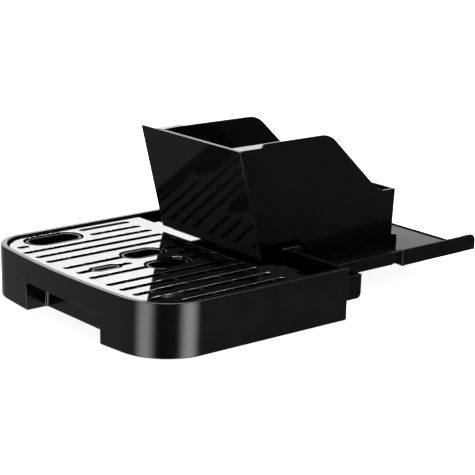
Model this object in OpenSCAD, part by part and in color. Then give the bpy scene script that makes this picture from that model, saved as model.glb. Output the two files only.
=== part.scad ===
// Drip tray and grounds container unit of a bean-to-cup coffee machine.
// Frame: +X right and +Y back as seen from the machine's front, +Z up.
// The origin is on the floor, in the middle of the unit's width and length.

/* [Tub] */
// Width of the tub at its rear wall
tub_w = 236; // [228:1:244]
// Width of the tub where the front corners begin
tub_front_w = 231.2; // [226:0.2:234]
// Height of the tub rim above the floor
tub_h = 43.8; // [42.8:0.2:45.4]
// Distance from the front of the tub to the back of the shelf
unit_l = 389; // [387:1:391]
// Radius of the large front corner on the right
corner_r = 45; // [42:1:48]
// Radius of the front corner on the left
corner_left_r = 34; // [32:1:40]
// Radius of the slightly bowed front wall
front_r = 750; // [650:10:1000]
// Thickness of the tub walls
tub_wall = 2.6; // [2.2:0.1:3]
// Width of the rim on top of the walls
rim_w = 5.2; // [4.6:0.1:6]
// Thickness of the tub floor
tub_floor = 2.5; // [2:0.1:3]
// How far the foot of the front wall lies behind its rim
front_rake = 1; // [0:0.5:3]
// Radius along the bottom edge of the tub
bottom_r = 1.5; // [1:0.5:2.5]
// Radius along the outer edge of the rim
rim_r = 0.7; // [0.5:0.1:1.2]

/* [Finger recess] */
// Width of the recess under the front wall
recess_w = 100; // [80:1:110]
// Height of the recess
recess_h = 24.2; // [20:0.2:27]
// Depth of the recess behind the front wall
recess_d = 22.5; // [18:0.5:24]
// Radius of the inner corners of the recess
recess_r = 2.5; // [2:0.5:6]

/* [Grille] */
// Height of the top of the steel plate
plate_z = 41.3; // [41:0.1:41.5]
// Thickness of the steel sheet
plate_t = 0.6; // [0.5:0.1:0.8]
// Distance from the outside of the tub to the edge of the plate
plate_inset = 7.6; // [7.2:0.1:8]
// Distance from the rear of the tub to the rear edge of the plate
plate_back = 37.5; // [36.5:0.5:38.5]
// Width of a slot
slot_w = 6.25; // [5:0.25:7]
// Height of the black frame under the plate
frame_h = 7; // [6:0.5:8]

/* [Float] */
// How far the float can rise
float_travel = 7; // [4:0.5:8]
// Radius of the float stem
stem_r = 2.4; // [2:0.1:2.6]
// Running clearance around the stem
stem_gap = 0.35; // [0.25:0.05:0.5]

/* [Grounds container] */
// Width of the container body
bin_w = 94; // [88:1:95]
// Height of the top edge above the floor
bin_top = 135.6; // [130:0.2:140]
// Wall thickness of the container
bin_wall = 2; // [1.6:0.1:2.4]
// How much narrower the container is at its bottom
bin_draft = 2.4; // [0:0.2:4]
// Width of the front panel
panel_w = 127.6; // [120:0.2:130]
// How far the middle of the front panel lies left of the container's middle
panel_shift = 3.6; // [0:0.2:4]
// Thickness of the front panel
panel_t = 2.6; // [2.2:0.1:3]

/* [Carrier] */
// Width over the rear guide flanges
guide_w = 170.4; // [166:0.2:172]
// Width over the front guide flanges
guide_front_w = 160.8; // [156:0.2:162]
// Height of the top of the shelf above the floor
shelf_z = 24.5; // [24:0.1:25]
// Thickness of the shelf
shelf_t = 2.5; // [2:0.1:3]
// Thickness of a guide flange
flange_t = 3; // [2.4:0.1:3.4]

/* [Hidden] */
$fn = 48;

// Tub
front_y = -unit_l / 2;
back_y = unit_l / 2;
rear_y = 3;
arc_y = front_y + front_r;
corner_n = 22;
front_n = 14;
rim_drop = 5;
recess_y = front_y + recess_d;
recess_over = 10;
screw_r = 1.6;
screw_hole_r = 1.9;
rib_t = 2;
rib_ys = [-104, -74, -44];
rib_xs = [-66, 66];

// Grille
plate_rear_y = rear_y - plate_back;
plate_lip = 3;
frame_top = plate_z - plate_t;
frame_z = frame_top - frame_h;
slot_rear_y = -51.2;
slot_xs = [16.6, 38.5, 54.3, 70, 85.8, 102];
slot_left_fronts = [-179, -180.5, -180, -181.5];
slot_right_fronts = [-178, -177.7, -176.7, -175.7, -171.7, -154.7];
slot_oval_y = -104;
short_slot = [-177, -166];
slot_break = [-116, -77.5];
slot_float = [-160, -140, -125];
ring_gap = 2;
ring_w = 2.3;
frame_gap = 0.2;
frame_edge = 5;
frame_bar = 3;
frame_bar_ys = [-160, -124, -92, -64];
frame_bar_xs = [-111, -46.4, 46.4, 94];
frame_seat = 2.5;
tab_w = 26;
tab_x = 66;
tab_under = 8;
tab_reach = 8.5;
tab_drop = 1;
tab_bend_r = 3.4;
tab_corner_r = 3;
tab_gap = 0.4;
tab_pocket = 1.4;

// Openings in the plate: [x, y, half length along Y, half width along X]
big_oval = [-93.2, -136.5, 27.6, 14.7];
left_oval = [-16.7, -101, 21.3, 12.6];
right_oval = [16.7, -101, 21.3, 12.6];
float_oval = [0, -150.4, 15, 6.8];
funnel_z = 22;

// Float
bridge_t = 2.5;
float_body_h = 11;
float_cap_t = 2;
float_cap_top = plate_z - 2.6;
bridge_z = float_cap_top - float_cap_t - bridge_t - 0.3;
clip_t = 1;
float_rest_z = bridge_z - float_travel - clip_t - float_body_h - 0.4;

// Container side outline, as [y, z]
bin_z = shelf_z + 0.4;
bin_front_top_y = -66;
bin_front_bottom_y = -40.9;
panel_z = 44.2;
bin_low_y = 34;
bin_step_y = 14;
bin_step_z = 49.5;
bin_back_y = 127.9;
bin_back_z = 78;
bin_crest_y = 35.7;
lean = atan((bin_front_bottom_y - bin_front_top_y) / (bin_top - panel_z));
slant_a = 42.3;
crest_r = 24;
dip_r = 22;
ledge_h = 3.5;
screw_xs = [-30, 30];
screw_z = 96;
screw_head_r = 3;
screw_head_t = 1.6;
panel_left = -panel_w / 2 - panel_shift;
panel_right = panel_w / 2 - panel_shift;

// Grip ledges at the top of the container, left and right, as [x, y]
left_ledge = [[-42.5, -70], [-42.5, -60.4], [-46.6, -36.3], [-52.6, -33.6], [-53.5, -35.6], [-49.6, -70]];
right_ledge = [[45.5, -70], [57.5, -70], [57.5, -41.5], [56.3, -39.8], [46.4, -29]];

// Carrier
channel_w = tub_w - 1;
channel_y = rear_y + 0.4;
channel_l = 15.2;
channel_z = 16.2;
channel_h = 20.2;
channel_t = 2;
channel_back = channel_y + channel_l;
flange_front_h = 11;
flange_rear_h = 13.2;
flange_z = shelf_z - shelf_t;
flange_rise = 11;
step_y = 95.4;
step_l = 5.2;
rail_low_z = flange_z - 1.1;
rail_notch = 1.3;
rail_r = 3;
rail_end_r = 6;
lead_y = 177;
lead_in = 0.4;
shelf_back_y = back_y - 8.2;
hook_x = 50.2;
hook_t = 3;
hook_r = 3;
hook_leg = 11;
hook_grip = 4.5;
hook_rise = 2.2;
hook_bend_y = 9.5;
hook_tip = [20.2, 29.5];
stop_y = bin_back_y + 1;
stop_t = 4.6;
stop_h = 11.5;
stop_r = 3;
gusset_xs = [-30, 0, 30];
gusset_t = 2;
gusset_l = 6;
gusset_h = 7;
rim_t = 1.5;
rim_h = 1;

function arc(c, r, a0, a1, n) =
    [for (i = [0:n]) [c.x + r * cos(a0 + (a1 - a0) * i / n), c.y + r * sin(a0 + (a1 - a0) * i / n)]];

// Front corners of the tub: side is -1 on the left and 1 on the right
function corner_at(side) = side < 0 ? corner_left_r : corner_r;
function corner_x(side) = tub_front_w / 2 - corner_at(side);
function corner_y(side) = arc_y - sqrt(pow(front_r - corner_at(side), 2) - pow(corner_x(side), 2));
function tangent_a(side) = asin(corner_x(side) / (front_r - corner_at(side)));

// Outline of the tub, moved inwards by inset, with its front moved back by rake
function tub_outline(inset, rake = 0) = concat(
    [[tub_w / 2 - inset, rear_y - inset], [-tub_w / 2 + inset, rear_y - inset]],
    arc([-corner_x(-1), corner_y(-1) + rake], corner_at(-1) - inset, 180, 270 - tangent_a(-1), corner_n),
    arc([0, arc_y + rake], front_r - inset, 270 - tangent_a(-1), 270 + tangent_a(1), front_n),
    arc([corner_x(1), corner_y(1) + rake], corner_at(1) - inset, 270 + tangent_a(1), 360, corner_n)
);
function rake_at(z) = front_rake * (1 - z / tub_h);

// Heights and insets of the rounded lower and upper edge
function rings() = concat(
    [for (b = [90:-15:0]) [bottom_r * (1 - sin(b)), bottom_r * (1 - cos(b))]],
    [for (b = [0:22.5:90]) [tub_h - rim_r * (1 - sin(b)), rim_r * (1 - cos(b))]]
);

// Solid between the outlines that each [height, inset] pair gives
module stacked(pairs) {
    loops = [for (p = pairs) [for (q = tub_outline(p[1], rake_at(p[0]))) [q.x, q.y, p[0]]]];
    n = len(loops[0]);
    m = len(loops);
    polyhedron(
        points = [for (l = loops) each l],
        faces = concat(
            [[for (i = [0:n - 1]) i]],
            [[for (i = [n - 1:-1:0]) (m - 1) * n + i]],
            [for (k = [0:m - 2], i = [0:n - 1])
                [k * n + i, (k + 1) * n + i, (k + 1) * n + (i + 1) % n, k * n + (i + 1) % n]]
        )
    );
}

// Extrusion of a [y, z] outline along X
module along_x(x0, x1) {
    translate([x0, 0, 0]) rotate([90, 0, 90]) linear_extrude(x1 - x0) children();
}

// Extrusion of an [x, z] outline along Y
module along_y(y0, y1) {
    translate([0, y1, 0]) rotate([90, 0, 0]) linear_extrude(y1 - y0) children();
}

// Round-ended outline with its long axis along Y
module oval(o, grow = 0) {
    r = o[3] + grow;
    straight = o[2] - o[3];
    translate([o[0], o[1] - straight]) circle(r);
    translate([o[0], o[1] + straight]) circle(r);
    translate([o[0] - r, o[1] - straight]) square([2 * r, 2 * straight]);
}

// Slot along Y with round ends
module slot(x, y0, y1) {
    translate([x, y0 + slot_w / 2]) circle(slot_w / 2);
    translate([x, y1 - slot_w / 2]) circle(slot_w / 2);
    translate([x - slot_w / 2, y0 + slot_w / 2]) square([slot_w, y1 - y0 - slot_w]);
}

// Block open at its low side, with two rounded corners at height h
module arch_2d(w, h, r, low) {
    translate([-w, low]) square([2 * w, h - low - r]);
    translate([-w + r, low]) square([2 * (w - r), h - low]);
    for (s = [-1, 1]) translate([s * (w - r), h - r]) circle(r);
}

// Recess for the fingers, larger by grow for the wall around it
module recess(grow = 0) {
    w = recess_w / 2 + grow;
    r = recess_r + grow;
    intersection() {
        translate([0, 0, -1]) linear_extrude(recess_h + grow + 1)
            arch_2d(w, recess_y + grow, r, front_y - recess_over);
        along_y(front_y - recess_over, recess_y + grow) arch_2d(w, recess_h + grow, r, -1);
    }
}

module tray_tub() {
    color([0.09, 0.09, 0.09]) difference() {
        stacked(rings());
        difference() {
            union() {
                stacked([[tub_floor, tub_wall], [tub_h - rim_drop, tub_wall]]);
                translate([0, 0, tub_h - rim_drop - 1]) linear_extrude(rim_drop + 2)
                    polygon(tub_outline(rim_w));
            }
            recess(tub_wall);
            tub_ribs();
        }
        recess();
    }
}

// Upright ribs along the tub walls: the grille frame rests on them
module tub_ribs() {
    intersection() {
        translate([0, 0, 1]) linear_extrude(frame_z - 1) difference() {
            polygon(tub_outline(tub_wall - 1));
            polygon(tub_outline(plate_inset + plate_t + 4));
        }
        union() {
            for (y = rib_ys) translate([-tub_w, y, 0]) cube([2 * tub_w, rib_t, tub_h]);
            for (x = rib_xs) translate([x - rib_t / 2, front_y, 0]) cube([rib_t, unit_l / 4, tub_h]);
        }
    }
}

module plate_outline(extra = 0) {
    intersection() {
        polygon(tub_outline(plate_inset + extra));
        translate([-tub_w, plate_rear_y - extra - tub_w]) square([2 * tub_w, tub_w]);
    }
}

module grille_openings() {
    // The outer slots on the left end behind the big opening
    for (i = [1:3]) slot(-slot_xs[i], slot_left_fronts[i], slot_rear_y);
    for (i = [4:5]) slot(-slot_xs[i], slot_oval_y, slot_rear_y);
    slot(-slot_xs[4], short_slot[0], short_slot[1]);
    for (i = [1:5]) slot(slot_xs[i], slot_right_fronts[i], slot_rear_y);
    // The middle slots are broken by the funnel openings and the float opening
    slot(-slot_xs[0], slot_left_fronts[0], slot_break[0]);
    slot(slot_xs[0], slot_right_fronts[0], slot_break[0]);
    for (x = [-slot_xs[0], 0, slot_xs[0]]) slot(x, slot_break[1], slot_rear_y);
    slot(0, slot_right_fronts[0], slot_float[0]);
    slot(0, slot_float[1], slot_float[2]);
    oval(big_oval);
    oval(left_oval);
    oval(right_oval);
    oval(float_oval);
}

// X of the low side of a tab: side is -1 on the left and 1 on the right
function tab_x0(side) = side > 0 ? tab_x : -tab_x - tab_w;

module grille_plate() {
    color([0.86, 0.87, 0.88]) {
        translate([0, 0, frame_top]) linear_extrude(plate_t) difference() {
            plate_outline();
            grille_openings();
        }
        // Turned-down edge, open where the tabs pass
        translate([0, 0, plate_z - plate_lip]) linear_extrude(plate_lip - plate_t) difference() {
            plate_outline();
            plate_outline(plate_t);
            for (side = [-1, 1]) translate([tab_x0(side) - tab_gap, plate_rear_y - 2])
                square([tab_w + 2 * tab_gap, 4]);
        }
    }
}

// Side outline of a steel tongue: flat under the plate, a small step down, and a rounded end
module tab_side() {
    low = frame_top - tab_drop;
    end_y = plate_rear_y + tab_reach;
    bend_z = low - tab_bend_r;
    polygon(concat(
        [[plate_rear_y - tab_under, frame_top], [plate_rear_y - 0.6, frame_top], [plate_rear_y + 0.6, low]],
        arc([end_y, bend_z], tab_bend_r, 90, 20, 8),
        arc([end_y, bend_z], tab_bend_r - plate_t, 20, 90, 8),
        [[plate_rear_y + 0.4, low - plate_t], [plate_rear_y - 0.8, frame_top - plate_t]],
        [[plate_rear_y - tab_under, frame_top - plate_t]]
    ));
}

// Steel tongue welded under the plate's rear edge, with rounded corners behind it
module grille_tab(side) {
    x0 = tab_x0(side);
    r = tab_corner_r;
    length = tab_under + tab_reach + tab_bend_r;
    color([0.82, 0.83, 0.84]) intersection() {
        along_x(x0, x0 + tab_w) tab_side();
        translate([x0, plate_rear_y - tab_under, 0]) linear_extrude(tub_h) {
            square([tab_w, length - r]);
            translate([r, 0]) square([tab_w - 2 * r, length]);
            for (x = [r, tab_w - r]) translate([x, length - r]) circle(r);
        }
    }
}

module grille_tab_left() {
    grille_tab(-1);
}

module grille_tab_right() {
    grille_tab(1);
}

module ring_2d(o) {
    difference() {
        oval(o, -ring_gap);
        oval(o, -ring_gap - ring_w);
    }
}

// Black lattice that carries the plate and hangs the funnels
module grille_frame() {
    color([0.07, 0.07, 0.07]) difference() {
        translate([0, 0, frame_z]) linear_extrude(frame_h) difference() {
            union() {
                difference() {
                    plate_outline(plate_t + frame_gap);
                    plate_outline(plate_t + frame_edge);
                }
                intersection() {
                    plate_outline(plate_t + 1);
                    union() {
                        for (y = frame_bar_ys) translate([-tub_w / 2, y]) square([tub_w, frame_bar]);
                        for (x = frame_bar_xs) translate([x - frame_bar / 2, front_y])
                            square([frame_bar, unit_l / 2]);
                    }
                }
                for (o = [big_oval, left_oval, right_oval, float_oval]) oval(o, 0.5);
            }
            for (o = [big_oval, left_oval, right_oval, float_oval]) oval(o, -ring_gap);
        }
        for (side = [-1, 1]) translate([tab_x0(side) - 1, plate_rear_y - 12, frame_top - tab_pocket])
            cube([tab_w + 2, 14, 2 * tab_pocket]);
        for (o = [big_oval, left_oval, right_oval, float_oval])
            translate([0, 0, frame_z + frame_seat]) linear_extrude(frame_h) difference() {
                oval(o, 1);
                oval(o, -ring_gap - 0.01);
            }
    }
}

// Oval collar that leads what falls through it down into the tub
module funnel(o) {
    color([0.08, 0.08, 0.08]) translate([0, 0, funnel_z])
        linear_extrude(plate_z - 0.5 - funnel_z) ring_2d(o);
}

module front_funnel() {
    funnel(big_oval);
}

module left_funnel() {
    funnel(left_oval);
}

module right_funnel() {
    funnel(right_oval);
}

// Collar of the float with a bridge that guides the stem
module float_well() {
    color([0.08, 0.08, 0.08]) {
        translate([0, 0, bridge_z]) linear_extrude(plate_z - 0.5 - bridge_z) ring_2d(float_oval);
        translate([0, 0, bridge_z]) linear_extrude(bridge_t) difference() {
            oval(float_oval, -ring_gap - ring_w + 0.2);
            translate([float_oval[0], float_oval[1]]) circle(stem_r + stem_gap);
            for (s = [-1, 1]) translate([0, float_oval[1] + s * 7]) circle(1.6);
        }
    }
}

// Float: a hollow foot in the water, a stem and the cap that shows in the plate
module level_float() {
    y = float_oval[1];
    color([0.55, 0.05, 0.04]) {
        difference() {
            translate([0, y, float_rest_z]) cylinder(r = 9, h = float_body_h);
            translate([0, y, float_rest_z - 1]) cylinder(r = 7.4, h = float_body_h - 1);
        }
        translate([0, y, float_rest_z + float_body_h - 1])
            cylinder(r = stem_r, h = float_cap_top - float_cap_t - float_rest_z - float_body_h + 1.5);
        translate([0, 0, float_cap_top - float_cap_t]) linear_extrude(float_cap_t)
            oval(float_oval, -ring_gap - ring_w - 0.5);
    }
}

// Snap ring on the stem, under the bridge, that keeps the float in its well
module float_clip() {
    color([0.75, 0.75, 0.76]) translate([0, float_oval[1], float_rest_z + float_body_h])
        difference() {
            cylinder(r = stem_r + 1.6, h = clip_t);
            translate([0, 0, -clip_t]) cylinder(r = stem_r, h = 3 * clip_t);
        }
}

// Lower end of the slanted top edge, where it runs into the dip
function slant_end() = let (
        c = [bin_crest_y, bin_top - crest_r],
        p = [c.x + crest_r * sin(slant_a), c.y + crest_r * cos(slant_a)],
        drop = p.y - (bin_back_z + dip_r * (1 - cos(slant_a))))
    [p.x + drop / tan(slant_a), p.y - drop];
function front_y_at(z) = bin_front_bottom_y - (z - panel_z) * tan(lean);

module bin_outline() {
    s = slant_end();
    dip_c = [s.x + dip_r * sin(slant_a), bin_back_z + dip_r];
    polygon(concat(
        [[front_y_at(bin_top) + panel_t, bin_top]],
        [[front_y_at(bin_step_z) + panel_t, bin_step_z], [bin_step_y, bin_step_z]],
        [[bin_low_y, bin_z], [bin_back_y - 1.5, bin_z], [bin_back_y, bin_back_z]],
        arc(dip_c, dip_r, 270, 270 - slant_a, 8),
        arc([bin_crest_y, bin_top - crest_r], crest_r, 90 - slant_a, 90, 10)
    ));
}

module bin_inside() {
    w = bin_wall;
    polygon([
        [front_y_at(bin_top + 20) + panel_t + w, bin_top + 20],
        [front_y_at(bin_step_z + w) + panel_t + w, bin_step_z + w],
        [bin_step_y + 1, bin_step_z + w],
        [bin_low_y + 1, bin_z + w],
        [bin_back_y - 1.5 - w, bin_z + w],
        [bin_back_y - w + 1, bin_top + 20]
    ]);
}

module draft_2d(inset) {
    top = bin_w / 2 - inset;
    low = bin_w / 2 - bin_draft / 2 - inset;
    rise = (top - low) / (bin_top - bin_z);
    polygon([
        [-low + 10 * rise, bin_z - 10],
        [low - 10 * rise, bin_z - 10],
        [top + 30 * rise, bin_top + 30],
        [-top - 30 * rise, bin_top + 30]
    ]);
}

module grounds_container() {
    color([0.05, 0.05, 0.055]) difference() {
        union() {
            difference() {
                intersection() {
                    along_x(-bin_w, bin_w) bin_outline();
                    along_y(-100, 200) draft_2d(0);
                }
                intersection() {
                    along_x(-bin_w, bin_w) bin_inside();
                    along_y(-100, 200) draft_2d(bin_wall);
                }
            }
            translate([0, 0, bin_top - ledge_h]) linear_extrude(ledge_h) {
                polygon(left_ledge);
                polygon(right_ledge);
            }
        }
        // Room for the front panel
        along_x(-bin_w, bin_w) polygon([
            [front_y_at(bin_top + 5) + panel_t, bin_top + 5],
            [front_y_at(0) + panel_t, 0],
            [-bin_w, 0],
            [-bin_w, bin_top + 5]
        ]);
        panel_screws_at() cylinder(r = screw_hole_r, h = 12, center = true);
    }
}

// Puts children at each panel screw, with Z along the panel's normal, towards the front
module panel_screws_at() {
    for (x = screw_xs) translate([x, front_y_at(screw_z) + panel_t, screw_z]) rotate([90 + lean, 0, 0])
        children();
}

module container_front_panel() {
    color([0.05, 0.05, 0.055]) difference() {
        along_x(panel_left, panel_right) polygon([
            [front_y_at(bin_top), bin_top],
            [front_y_at(panel_z), panel_z],
            [front_y_at(panel_z) + panel_t, panel_z],
            [front_y_at(bin_top) + panel_t, bin_top]
        ]);
        panel_screws_at() translate([0, 0, -1]) cylinder(r = screw_r, h = 2.6);
    }
}

// Screws that hold the panel, driven from inside the container
module panel_screws() {
    color([0.7, 0.7, 0.72]) panel_screws_at() {
        translate([0, 0, -bin_wall - screw_head_t]) cylinder(r = screw_head_r, h = screw_head_t);
        translate([0, 0, -bin_wall - 0.1]) cylinder(r = screw_r, h = bin_wall + 1.5);
    }
}

// Open trough along the back of the tub
module carrier_channel() {
    y0 = channel_y;
    y1 = channel_back;
    r = 4;
    color([0.08, 0.08, 0.08]) difference() {
        along_x(-channel_w / 2, channel_w / 2) channel_2d(0, r);
        difference() {
            along_x(-channel_w / 2 + channel_t, channel_w / 2 - channel_t)
                channel_2d(channel_t, r - channel_t);
            for (x = [-60, 0, 60]) translate([x - channel_t / 2, y0 - 1, channel_z])
                cube([channel_t, y1 - y0 + 2, channel_h - 8]);
        }
    }
}

module channel_2d(inset, r) {
    y0 = channel_y + inset;
    y1 = channel_back - inset;
    z0 = channel_z + inset;
    z1 = channel_z + channel_h + inset;
    translate([y0, z0 + r]) square([y1 - y0, z1 - z0 - r]);
    translate([y0, z0]) square([y1 - y0 - r, r + 1]);
    translate([y1 - r, z0 + r]) circle(r);
}

// Plan of one side of the carrier, inset from its outer face: front run, step, rear run, lead-in
function side_plan(inset, end_y) = [
    [guide_front_w / 2 - inset, channel_back],
    [guide_front_w / 2 - inset, step_y + inset / 3],
    [guide_w / 2 - inset, step_y + step_l + inset / 3],
    [guide_w / 2 - inset, lead_y - lead_in],
    [guide_w / 2 - lead_in - inset, lead_y + lead_in],
    [guide_w / 2 - lead_in - inset, end_y]
];

// Side outline of a guide rail: both runs, with rounded corners
module rail_side() {
    za = flange_z + flange_front_h;
    zb = flange_z + flange_rear_h;
    r = rail_r;
    polygon(concat(
        [[channel_back, flange_z]],
        arc([step_y - r, flange_z + r], r, 270, 325, 4),
        [[step_y + 1, flange_z + rail_notch]],
        arc([step_y + step_l + 1, rail_low_z + r], r, 235, 270, 3),
        [[back_y, rail_low_z]],
        arc([back_y - rail_end_r, zb - rail_end_r], rail_end_r, 0, 90, 6),
        [[step_y + step_l, zb], [step_y, za], [channel_back + flange_rise + 2, za],
            [channel_back + 2, shelf_z + 1], [channel_back, shelf_z + 1]]
    ));
}

module guide_rail(s) {
    outer = side_plan(0, back_y);
    inner = side_plan(flange_t, back_y);
    n = len(outer);
    color([0.05, 0.05, 0.055]) intersection() {
        translate([0, 0, flange_z - 2]) linear_extrude(20) polygon(concat(
            [for (p = outer) [s * p.x, p.y]],
            [for (i = [n - 1:-1:0]) [s * inner[i].x, inner[i].y]]
        ));
        along_x(-guide_w, guide_w) rail_side();
    }
}

module guide_rail_left() {
    guide_rail(-1);
}

module guide_rail_right() {
    guide_rail(1);
}

module carrier_shelf() {
    edge = side_plan(flange_t, shelf_back_y);
    n = len(edge);
    half = edge[n - 1].x;
    color([0.05, 0.05, 0.055]) {
        translate([0, 0, flange_z]) linear_extrude(shelf_t)
            polygon(concat(edge, [for (i = [n - 1:-1:0]) [-edge[i].x, edge[i].y]]));
        // Low rim along the back edge
        translate([-half, shelf_back_y - rim_t, flange_z]) cube([2 * half, rim_t, shelf_t + rim_h]);
        // Stiffening ribs under the shelf
        for (x = [-60, -20, 20, 60]) translate([x - 1, channel_back, flange_z - 3]) cube([2, 120, 3.5]);
    }
}

// Hook that holds the carrier over the rear wall of the tub
module carrier_hook(s) {
    x0 = s > 0 ? hook_x : -hook_x - hook_t;
    wall_in = rear_y - rim_w - 0.5;
    wall_out = rear_y + 0.4;
    slot_z = tub_h + 0.4;
    top = slot_z + hook_rise;
    color([0.07, 0.07, 0.07]) along_x(x0, x0 + hook_t) polygon(concat(
        [[wall_in, slot_z], [wall_in, slot_z - hook_leg], [wall_in - hook_grip, slot_z - hook_leg]],
        arc([wall_in - hook_grip + 0.5, top - hook_r], hook_r, 180, 90, 4),
        arc([hook_bend_y, top - hook_r], hook_r, 90, 32, 4),
        arc([hook_tip.x, hook_tip.y], hook_r, 32, -90, 6),
        [[channel_back, hook_tip.y - hook_r], [channel_back, channel_z + channel_h]],
        [[wall_out, channel_z + channel_h], [wall_out, slot_z]]
    ));
}

module carrier_hook_left() {
    carrier_hook(-1);
}

module carrier_hook_right() {
    carrier_hook(1);
}

// Upright stop behind the container, rounded along its top, with three gussets
module container_stop() {
    w = bin_w / 2 - 0.6;
    r = stop_r;
    color([0.05, 0.05, 0.055]) {
        along_x(-w, w) translate([stop_y, shelf_z]) {
            square([stop_t, stop_h - r]);
            square([stop_t - r, stop_h]);
            translate([stop_t - r, stop_h - r]) circle(r);
        }
        for (x = gusset_xs) along_x(x - gusset_t / 2, x + gusset_t / 2)
            polygon([[stop_y + stop_t - 0.5, shelf_z], [stop_y + stop_t + gusset_l, shelf_z],
                [stop_y + stop_t - 0.5, shelf_z + gusset_h]]);
    }
}

tray_tub();
grille_plate();
grille_tab_left();
grille_tab_right();
grille_frame();
front_funnel();
left_funnel();
right_funnel();
float_well();
level_float();
float_clip();
grounds_container();
container_front_panel();
panel_screws();
carrier_channel();
carrier_shelf();
carrier_hook_left();
carrier_hook_right();
container_stop();
guide_rail_left();
guide_rail_right();
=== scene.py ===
import math
import bpy
import bmesh
from mathutils import Matrix, Vector


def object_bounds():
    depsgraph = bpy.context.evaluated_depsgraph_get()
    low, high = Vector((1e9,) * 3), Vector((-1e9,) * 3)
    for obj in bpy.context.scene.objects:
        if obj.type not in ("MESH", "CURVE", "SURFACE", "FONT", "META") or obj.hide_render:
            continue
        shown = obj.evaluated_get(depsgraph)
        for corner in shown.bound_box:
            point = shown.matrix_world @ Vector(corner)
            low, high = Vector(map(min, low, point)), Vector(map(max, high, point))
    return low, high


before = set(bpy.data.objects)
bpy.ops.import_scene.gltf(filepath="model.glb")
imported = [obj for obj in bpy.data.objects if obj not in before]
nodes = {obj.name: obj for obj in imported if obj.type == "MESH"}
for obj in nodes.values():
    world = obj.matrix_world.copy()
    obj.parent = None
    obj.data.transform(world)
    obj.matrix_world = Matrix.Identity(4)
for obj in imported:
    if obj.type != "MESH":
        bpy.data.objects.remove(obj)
cad_lo, cad_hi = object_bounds()
scene = bpy.context.scene
scene.view_settings.view_transform = "Standard"
scene.view_settings.look = "None"

MM = 0.001


# ---------------------------------------------------------------- materials
def material(name):
    m = bpy.data.materials.new(name)
    m.use_nodes = True
    return m, m.node_tree, m.node_tree.nodes["Principled BSDF"]


def link(tree, a, b):
    tree.links.new(a, b)


def remap(tree, value, start, end, low, high, smooth=False):
    """Goes from low to high while value goes from start to end, and stays inside them."""
    node = tree.nodes.new("ShaderNodeMapRange")
    if smooth:
        node.interpolation_type = "SMOOTHSTEP"
    node.inputs["From Min"].default_value = start
    node.inputs["From Max"].default_value = end
    node.inputs["To Min"].default_value = low
    node.inputs["To Max"].default_value = high
    link(tree, value, node.inputs["Value"])
    return node.outputs["Result"]


def noise(tree, scale, detail):
    """Noise in object space, which is the row frame for every CAD part."""
    coord = tree.nodes.new("ShaderNodeTexCoord")
    tex = tree.nodes.new("ShaderNodeTexNoise")
    tex.inputs["Scale"].default_value = scale
    tex.inputs["Detail"].default_value = detail
    link(tree, coord.outputs["Object"], tex.inputs["Vector"])
    return tex.outputs["Fac"]


def rough_spots(tree, shader, scale, rough):
    value = remap(tree, noise(tree, scale, 6), 0.3, 0.7, *rough)
    link(tree, value, shader.inputs["Roughness"])


def cloudy(tree, value, low, high):
    """Colour that drifts between two tones."""
    ramp = tree.nodes.new("ShaderNodeValToRGB")
    for element, position, colour in zip(ramp.color_ramp.elements, (0.35, 0.65), (low, high)):
        element.position = position
        element.color = (*colour, 1)
    link(tree, value, ramp.inputs["Fac"])
    return ramp.outputs["Color"]


def bump(tree, height, distance, strength=1.0, under=None):
    """Normal of a relief as deep as distance, on top of the normal given as under."""
    node = tree.nodes.new("ShaderNodeBump")
    node.inputs["Strength"].default_value = strength
    node.inputs["Distance"].default_value = distance
    link(tree, height, node.inputs["Height"])
    if under:
        link(tree, under, node.inputs["Normal"])
    return node.outputs["Normal"]


def facing_up(tree, start, end):
    """Goes from 0 to 1 as a face turns from upright to level."""
    geo = tree.nodes.new("ShaderNodeNewGeometry")
    split = tree.nodes.new("ShaderNodeSeparateXYZ")
    link(tree, geo.outputs["True Normal"], split.inputs["Vector"])
    return remap(tree, split.outputs["Z"], start, end, 0, 1)


def black_plastic(name, low, high, rough, ior, grain_mm=0.02, strength=0.02):
    m, tree, shader = material(name)
    shader.inputs["IOR"].default_value = ior
    link(tree, cloudy(tree, noise(tree, 26, 5), (low,) * 3, (high,) * 3), shader.inputs["Base Color"])
    rough_spots(tree, shader, 60, rough)
    link(tree, bump(tree, noise(tree, 1600, 3), grain_mm * MM, strength), shader.inputs["Normal"])
    return m


def polish_top(m):
    """Adds a clear gloss to the level faces of a material, such as the tub's rim."""
    tree = m.node_tree
    shader = tree.nodes["Principled BSDF"]
    link(tree, facing_up(tree, 0.9, 0.98), shader.inputs["Coat Weight"])
    shader.inputs["Coat Roughness"].default_value = 0.08


def polished_steel(name, left, border=7 * MM, rise=1.1 * MM):
    """Mirror finish on the faces that look up; the upright punched faces get a near-black colour, painted
    shade that makes the slots read dark.

    Left of left + border the sheet turns up a little, so it mirrors the studio and not the tub wall.
    """
    m, tree, shader = material(name)
    shader.inputs["Metallic"].default_value = 1.0
    # Painted shade: upright faces such as the punched slot walls get a near-black metal colour instead of
    # the steel tone, so the slots read dark.
    mix = tree.nodes.new("ShaderNodeMix")
    mix.data_type = "RGBA"
    mix.inputs["A"].default_value = (0.05, 0.05, 0.05, 1)
    link(tree, facing_up(tree, 0.1, 0.5), mix.inputs["Factor"])
    link(tree, cloudy(tree, noise(tree, 9, 4), (0.84, 0.845, 0.85), (0.90, 0.905, 0.91)), mix.inputs["B"])
    link(tree, mix.outputs["Result"], shader.inputs["Base Color"])
    rough_spots(tree, shader, 40, (0.02, 0.06))
    place = tree.nodes.new("ShaderNodeTexCoord")
    split = tree.nodes.new("ShaderNodeSeparateXYZ")
    link(tree, place.outputs["Object"], split.inputs["Vector"])
    press = bump(tree, remap(tree, split.outputs["X"], left + border, left, 0, 1), rise)
    waves = bump(tree, noise(tree, 7, 2), 0.4 * MM, 0.04, press)
    link(tree, waves, shader.inputs["Normal"])
    return m


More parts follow.
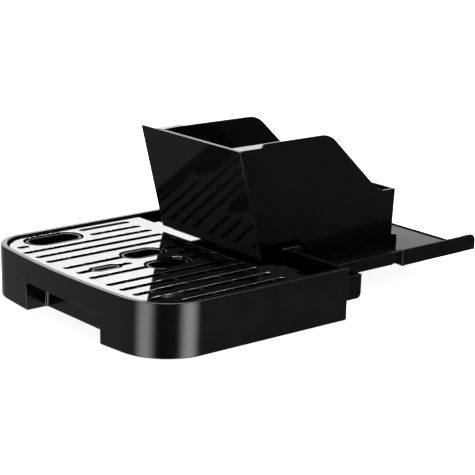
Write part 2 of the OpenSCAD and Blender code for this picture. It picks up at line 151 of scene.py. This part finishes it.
tub = black_plastic("tub_black", 0.0022, 0.0032, (0.12, 0.18), 1.42)
polish_top(tub)
lattice = black_plastic("lattice_black", 0.002, 0.003, (0.4, 0.5), 1.15)
insert = black_plastic("insert_black", 0.002, 0.003, (0.1, 0.16), 1.45)
gloss = black_plastic("container_black", 0.0040, 0.0048, (0.03, 0.07), 1.25, 0.01, 0.01)
carrier = black_plastic("carrier_black", 0.0030, 0.0040, (0.08, 0.14), 1.19)
steel = polished_steel("mirror_steel", min(v.co.x for v in nodes["grille_plate"].data.vertices))

PAINT = {
    tub: ["tray_tub"],
    steel: ["grille_plate", "grille_tab_left", "grille_tab_right", "float_clip", "panel_screws"],
    lattice: ["grille_frame"],
    insert: ["front_funnel", "left_funnel", "right_funnel", "float_well", "level_float",
             "carrier_hook_left", "carrier_hook_right"],
    gloss: ["grounds_container", "container_front_panel"],
    carrier: ["carrier_channel", "carrier_shelf", "container_stop", "guide_rail_left", "guide_rail_right"],
}


# ---------------------------------------------------------------- edges
# Edge rounding in millimetres, where the plain CAD edge is too sharp
EDGE = {
    "tray_tub": 0.6, "grille_plate": 0.08, "grounds_container": 0.35, "container_front_panel": 0.8,
    "carrier_channel": 0.4, "carrier_shelf": 0.3, "carrier_hook_left": 0.9, "carrier_hook_right": 0.9,
    "container_stop": 0.5, "guide_rail_left": 0.7, "guide_rail_right": 0.7, "front_funnel": 0.4,
    "left_funnel": 0.4, "right_funnel": 0.4, "float_well": 0.4, "level_float": 0.5,
}
WELD = 1e-6
CREASE_DEGREES = 32
ROUND_DEGREES = 40


def mark_creases(mesh):
    """Marks the edges where faces meet at a clear angle, seen through the seams of the CAD mesh."""
    joined = bmesh.new()
    joined.from_mesh(mesh)
    bmesh.ops.remove_doubles(joined, verts=joined.verts, dist=WELD)
    limit = math.radians(CREASE_DEGREES)

    def key(a, b):
        return frozenset(tuple(round(c / (4 * WELD)) for c in point) for point in (a, b))

    creases = {key(*(v.co for v in e.verts)) for e in joined.edges if e.calc_face_angle(math.pi) > limit}
    joined.free()
    points = [v.co for v in mesh.vertices]
    sharp = [key(*(points[i] for i in e.vertices)) in creases for e in mesh.edges]
    mesh.polygons.foreach_set("use_smooth", [True] * len(mesh.polygons))
    mesh.edges.foreach_set("use_edge_sharp", sharp)


def finish_edges(obj, width):
    """Joins the seams of the CAD mesh, rounds its edges and shades it smoothly."""
    mark_creases(obj.data)
    weld = obj.modifiers.new("join_seams", "WELD")
    weld.merge_threshold = WELD
    if width:
        edge = obj.modifiers.new("round_edges", "BEVEL")
        edge.width = width * MM
        edge.segments = 2
        edge.limit_method = "ANGLE"
        edge.angle_limit = math.radians(ROUND_DEGREES)
        edge.use_clamp_overlap = False
    flat = obj.modifiers.new("flat_faces", "WEIGHTED_NORMAL")
    flat.keep_sharp = True
    flat.weight = 80


for paint, names in PAINT.items():
    for name in names:
        obj = nodes[name]
        obj.data.materials.clear()
        obj.data.materials.append(paint)
        finish_edges(obj, EDGE.get(name, 0))

# ---------------------------------------------------------------- stage
FLOOR_HALF = 9
FLOOR_GAP = 0.2 * MM


def pale_floor():
    """White floor that glows a little and stays out of the mirror images."""
    m, tree, shader = material("pale_floor")
    shader.inputs["Base Color"].default_value = (0.8, 0.8, 0.8, 1)
    shader.inputs["Roughness"].default_value = 1.0
    shader.inputs["Specular IOR Level"].default_value = 0.0
    shader.inputs["Emission Color"].default_value = (1, 1, 1, 1)
    shader.inputs["Emission Strength"].default_value = 0.9
    mesh = bpy.data.meshes.new("floor")
    corners = [(x * FLOOR_HALF, y * FLOOR_HALF, 0) for x, y in ((-1, -1), (1, -1), (1, 1), (-1, 1))]
    mesh.from_pydata(corners, [], [(0, 1, 2, 3)])
    mesh.materials.append(m)
    floor = bpy.data.objects.new("floor", mesh)
    scene.collection.objects.link(floor)
    floor.location.z = cad_lo.z - FLOOR_GAP
    floor.visible_glossy = False


def softbox(place, width, height, power):
    """Rectangular light that looks at the middle of the floor."""
    light = bpy.data.lights.new("softbox", "AREA")
    light.shape = "RECTANGLE"
    light.size = width
    light.size_y = height
    light.energy = power
    o = bpy.data.objects.new("softbox", light)
    scene.collection.objects.link(o)
    o.location = place
    o.rotation_mode = "QUATERNION"
    o.rotation_quaternion = (-Vector(place)).to_track_quat("-Z", "Y")


pale_floor()
softbox((-0.3, 0.4, 1.9), 1.6, 1.2, 60)

# ---------------------------------------------------------------- studio
# Brightness of the studio overhead, behind, in front, to the side and low behind
DOME = 0.35
BACK = 0.65
BACK_LOW = 0.05
FRONT = 0.22
SIDE = 0.06
GLOW = 1.8
# Azimuth in degrees and brightness of the two tall strip lights
STRIPS = ((-78, 6.0), (10, 7.0))
# Middles of the bright and dark parts, as directions from the object
BEHIND = (-0.726, 0.634, 0.25)
FRONT_LEFT = (-0.726, -0.634, 0.35)
LOW_FRONT = (-0.75, -0.62, -0.3)
LOW_SIDE = (0.75, 0.62, -0.3)
LOW_BEHIND = (-0.75, 0.66, 0.15)

world = bpy.data.worlds.new("studio")
scene.world = world
world.use_nodes = True
sky_tree = world.node_tree
background = sky_tree.nodes["Background"]
background.inputs["Color"].default_value = (1, 1, 1, 1)
direction = sky_tree.nodes.new("ShaderNodeTexCoord").outputs["Generated"]
parts = sky_tree.nodes.new("ShaderNodeSeparateXYZ")
link(sky_tree, direction, parts.inputs["Vector"])


def calc(operation, a, b=None):
    node = sky_tree.nodes.new("ShaderNodeMath")
    node.operation = operation
    for socket, value in zip(node.inputs, (a, b)):
        if isinstance(value, (int, float)):
            socket.default_value = value
        elif value is not None:
            link(sky_tree, value, socket)
    return node.outputs["Value"]


def fade(value, start, end, low, high):
    """Smooth step from low to high while value goes from start to end."""
    return remap(sky_tree, value, start, end, low, high, smooth=True)


def towards(vector):
    """Cosine of the angle between the direction looked at and a vector."""
    node = sky_tree.nodes.new("ShaderNodeVectorMath")
    node.operation = "DOT_PRODUCT"
    node.inputs[1].default_value = Vector(vector).normalized()
    link(sky_tree, direction, node.inputs[0])
    return node.outputs["Value"]


height = parts.outputs["Z"]
bearing = calc("ARCTAN2", parts.outputs["Y"], parts.outputs["X"])


def strip(degrees, strength, inner=2, outer=26):
    """A tall soft strip light at an azimuth, as bright as strength in its middle."""
    away = calc("ABSOLUTE", calc("SUBTRACT", bearing, math.radians(degrees)))
    profile = fade(away, math.radians(inner), math.radians(outer), strength, 0)
    return calc("MULTIPLY", profile, fade(height, -0.1, 0.12, 1, 0))


def glow():
    """Bright band just above the horizon behind the object, which lights the upper edges."""
    band = calc("MULTIPLY", fade(height, 0.215, 0.26, 1, 0), fade(height, -0.05, 0.05, 0, 1))
    return calc("MULTIPLY", fade(towards(LOW_BEHIND), 0.8, 0.95, 0, GLOW), band)


lights = [
    calc("MULTIPLY", fade(height, 0.05, 0.3, 0, DOME), fade(towards(FRONT_LEFT), 0.3, 0.8, 1, 0)),
    fade(towards(BEHIND), 0.5, 0.9, BACK_LOW, BACK),
    fade(towards(LOW_FRONT), 0.45, 0.85, 0, FRONT),
    fade(towards(LOW_SIDE), 0.45, 0.85, 0, SIDE),
    glow(),
] + [strip(*s) for s in STRIPS]
sky = lights[0]
for light in lights[1:]:
    sky = calc("ADD", sky, light)
link(sky_tree, sky, background.inputs["Strength"])

# ---------------------------------------------------------------- camera
CAMERA_PLACE = (0.9669, -0.8572, 0.4005)
AZIMUTH, ELEVATION, ROLL = (math.radians(v) for v in (48.88, 15.50, 1.88))

cam_data = bpy.data.cameras.new("camera")
cam_data.sensor_width = 36
cam_data.lens = 119.36
cam_data.clip_start = 0.05
cam_data.clip_end = 60
cam = bpy.data.objects.new("camera", cam_data)
scene.collection.objects.link(cam)
cam.location = CAMERA_PLACE
flat_part = math.cos(ELEVATION)
view_from = Vector((math.sin(AZIMUTH) * flat_part, -math.cos(AZIMUTH) * flat_part, math.sin(ELEVATION)))
level_view = (-view_from).to_track_quat("-Z", "Y")
cam.rotation_mode = "QUATERNION"
cam.rotation_quaternion = level_view @ Matrix.Rotation(ROLL, 3, "Z").to_quaternion()
scene.camera = cam
